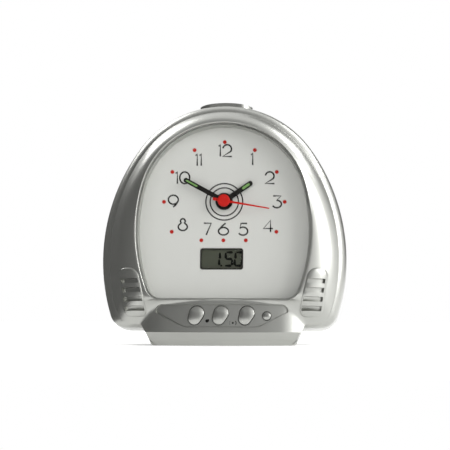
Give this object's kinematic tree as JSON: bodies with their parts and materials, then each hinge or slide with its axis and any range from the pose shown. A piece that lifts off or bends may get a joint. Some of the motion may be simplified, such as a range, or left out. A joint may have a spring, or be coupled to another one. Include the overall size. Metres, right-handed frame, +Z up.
{
  "type": "talking clock",
  "caption": "Table clock with an analogue dial, a small digital display in it, front push buttons and a large crown button that speaks the time.",
  "frame": {"origin": "middle of the foot's resting face, on the table", "axes": "X to the right seen from the front, Y from the dial towards the back, Z up"},
  "size_m": [0.125, 0.0563, 0.1245],
  "materials": {
    "case_silver": "silver paint on moulded plastic, fine metal flake, satin",
    "button_silver": "silver paint on moulded plastic, satin",
    "lens_clear": "clear moulded acrylic",
    "dial_print": "pale grey sheet with printed numerals and dots",
    "inner_plastic": "black moulded plastic",
    "display_black": "black moulded plastic",
    "display_lcd": "reflective liquid crystal glass, grey green",
    "grey_rubber": "grey silicone rubber",
    "board_brown": "brown laminate",
    "part_black": "black moulded plastic",
    "part_can": "drawn aluminium can",
    "hand_black": "black paint",
    "lume_green": "green glow paint",
    "hand_red": "red paint",
    "gear_white": "natural moulded plastic",
    "knob_dark": "black moulded plastic",
    "magnet_dark": "sintered ferrite",
    "motor_steel": "stamped sheet",
    "coil_copper": "enamelled copper wire",
    "speaker_steel": "pressed sheet",
    "cone_paper": "black pressed paper",
    "contact_nickel": "nickel plated spring steel",
    "cell_wrap": "plain green printed wrap",
    "screw_steel": "zinc plated"
  },
  "bodies": {
    "case": {"battery_cell_1": "cell_wrap", "battery_cell_2": "cell_wrap", "battery_contacts": "contact_nickel", "capacitor": "part_can", "case_screws": "screw_steel", "chassis": "inner_plastic", "coil": "coil_copper", "contact_strips": "grey_rubber", "dial_plate": "dial_print", "display_frame": "display_black", "display_glass": "display_lcd", "front_shell": "case_silver", "key_board": "board_brown", "key_mat": "grey_rubber", "lens": "lens_clear", "main_board": "board_brown", "movement_back": "inner_plastic", "movement_board": "board_brown", "movement_front": "inner_plastic", "rear_shell": "case_silver", "small_screws": "screw_steel", "speaker_clamp": "inner_plastic", "speaker_cone": "cone_paper", "speaker_frame": "speaker_steel", "speaker_magnet": "magnet_dark", "stator": "motor_steel", "talk_board": "board_brown", "talk_switch": "part_black", "train_bridge": "inner_plastic", "voice_chip": "part_black"},
    "seconds": {"seconds_hand": "hand_red", "seconds_wheel": "gear_white"},
    "minutes": {"minute_hand": "hand_black", "minute_lume": "lume_green", "centre_wheel": "gear_white"},
    "hours": {"hour_hand": "hand_black", "hour_lume": "lume_green", "hour_wheel": "gear_white"},
    "third": {"third_wheel": "gear_white"},
    "motion": {"motion_wheel": "gear_white"},
    "fifth": {"fifth_wheel": "gear_white"},
    "rotor": {"rotor": "magnet_dark"},
    "setting": {"setting_stem": "gear_white", "setting_knob": "knob_dark"},
    "talk": {"talk_button": "case_silver"},
    "set_key": {"set_button": "button_silver"},
    "hour_key": {"hour_button": "button_silver"},
    "minute_key": {"minute_button": "button_silver"},
    "chime_key": {"chime_button": "button_silver"},
    "door": {"battery_door": "case_silver"}
  },
  "joints": [
    {"name": "seconds_spin", "type": "hinge", "parent": "case", "child": "seconds", "pos_m": [0, -0.0029, 0.07337], "axis": [0, 0.9903, -0.1392], "continuous": true},
    {"name": "minutes_spin", "type": "hinge", "parent": "case", "child": "minutes", "pos_m": [0, -0.0029, 0.07337], "axis": [0, 0.9903, -0.1392], "continuous": true},
    {"name": "hours_spin", "type": "hinge", "parent": "case", "child": "hours", "pos_m": [0, -0.0029, 0.07337], "axis": [0, 0.9903, -0.1392], "continuous": true},
    {"name": "third_spin", "type": "hinge", "parent": "case", "child": "third", "pos_m": [-0.00918, -0.0029, 0.07337], "axis": [0, 0.9903, -0.1392], "continuous": true},
    {"name": "motion_spin", "type": "hinge", "parent": "case", "child": "motion", "pos_m": [0.00643, -0.00365, 0.06802], "axis": [0, 0.9903, -0.1392], "continuous": true},
    {"name": "fifth_spin", "type": "hinge", "parent": "case", "child": "fifth", "pos_m": [0.00407, -0.00234, 0.0774], "axis": [0, 0.9903, -0.1392], "continuous": true},
    {"name": "rotor_spin", "type": "hinge", "parent": "case", "child": "rotor", "pos_m": [0.00821, -0.00189, 0.0806], "axis": [0, 0.9903, -0.1392], "continuous": true},
    {"name": "setting_spin", "type": "hinge", "parent": "case", "child": "setting", "pos_m": [0.01287, -0.00441, 0.06268], "axis": [0, 0.9903, -0.1392], "continuous": true},
    {"name": "set_press", "type": "slide", "parent": "case", "child": "set_key", "axis": [0, 0.9903, -0.1392], "range_m": [0, 0.0008], "stiffness_N_per_m": 1500},
    {"name": "hour_press", "type": "slide", "parent": "case", "child": "hour_key", "axis": [0, 0.9903, -0.1392], "range_m": [0, 0.0008], "stiffness_N_per_m": 1500},
    {"name": "minute_press", "type": "slide", "parent": "case", "child": "minute_key", "axis": [0, 0.9903, -0.1392], "range_m": [0, 0.0008], "stiffness_N_per_m": 1500},
    {"name": "chime_press", "type": "slide", "parent": "case", "child": "chime_key", "axis": [0, 0.9903, -0.1392], "range_m": [0, 0.0008], "stiffness_N_per_m": 1500},
    {"name": "talk_press", "type": "slide", "parent": "case", "child": "talk", "axis": [0, -0.1392, -0.9903], "range_m": [0, 0.0012], "stiffness_N_per_m": 2500},
    {"name": "door_swing", "type": "hinge", "parent": "case", "child": "door", "pos_m": [0, 0.02195, 0.01742], "axis": [-1, 0, 0], "range_deg": [0, 90]}
  ],
  "couplings": [
    {"joint": "minutes_spin", "follows": "seconds_spin", "ratio": 0.016667},
    {"joint": "hours_spin", "follows": "seconds_spin", "ratio": 0.0013889},
    {"joint": "third_spin", "follows": "seconds_spin", "ratio": -0.125},
    {"joint": "motion_spin", "follows": "seconds_spin", "ratio": -0.0055556},
    {"joint": "fifth_spin", "follows": "seconds_spin", "ratio": -5},
    {"joint": "rotor_spin", "follows": "seconds_spin", "ratio": 30},
    {"joint": "setting_spin", "follows": "seconds_spin", "ratio": 0.016667}
  ]
}
